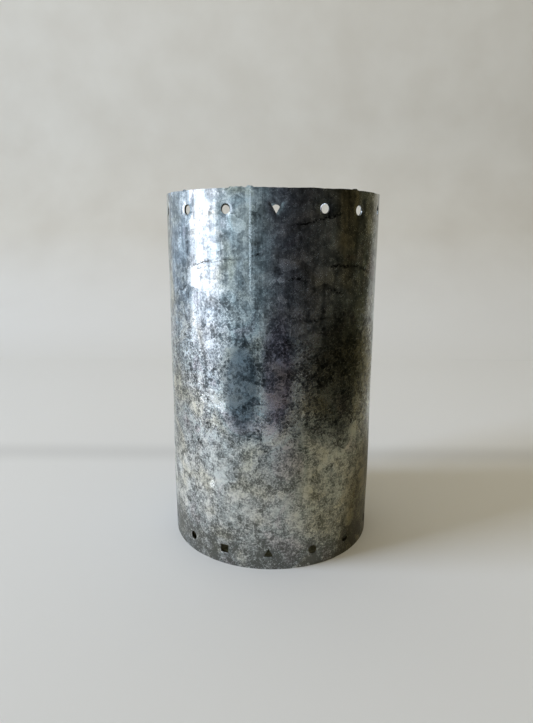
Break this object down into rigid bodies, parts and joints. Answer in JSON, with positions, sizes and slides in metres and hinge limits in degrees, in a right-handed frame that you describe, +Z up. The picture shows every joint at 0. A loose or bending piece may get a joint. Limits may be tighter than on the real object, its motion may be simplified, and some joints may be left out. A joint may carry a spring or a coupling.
{
  "type": "hurricane candle lantern",
  "caption": "Galvanised steel tube with rings of punched vents, standing over a drip pan that holds a pillar candle in a cup.",
  "frame": {"origin": "on the table, under the middle of the sleeve", "axes": "+Z up along the sleeve, -Y towards the front, with the lapped seam at the back"},
  "size_m": [0.1524, 0.1524, 0.2556],
  "materials": {
    "galvanised_sheet": "aged galvanised zinc with a fine spangle, patchy sheen and dark stains",
    "pan_zinc": "pressed galvanised sheet, dull, with small wax stains",
    "rivet_steel": "zinc-plated, satin",
    "spike_steel": "turned mild steel, smoke-darkened",
    "wax": "ivory candle wax, soft sheen",
    "cotton": "braided cotton, charred at the tip"
  },
  "bodies": {
    "pan_body": {"candle_pan": "pan_zinc", "candle_cup": "pan_zinc", "cup_rivet_1": "rivet_steel", "cup_rivet_2": "rivet_steel", "cup_rivet_3": "rivet_steel", "pricket_spike": "spike_steel"},
    "sleeve_body": {"sleeve": "galvanised_sheet", "seam_rivet_1": "rivet_steel", "seam_rivet_2": "rivet_steel", "seam_rivet_3": "rivet_steel", "seam_rivet_4": "rivet_steel", "seam_rivet_5": "rivet_steel", "seam_rivet_6": "rivet_steel"},
    "candle_body": {"candle": "wax", "wick": "cotton"}
  },
  "joints": [
    {"name": "sleeve_lift", "type": "slide", "parent": "pan_body", "child": "sleeve_body", "axis": [0, 0, 1], "range_m": [0, 0.27]},
    {"name": "candle_lift", "type": "slide", "parent": "pan_body", "child": "candle_body", "axis": [0, 0, 1], "range_m": [0, 0.26]}
  ]
}
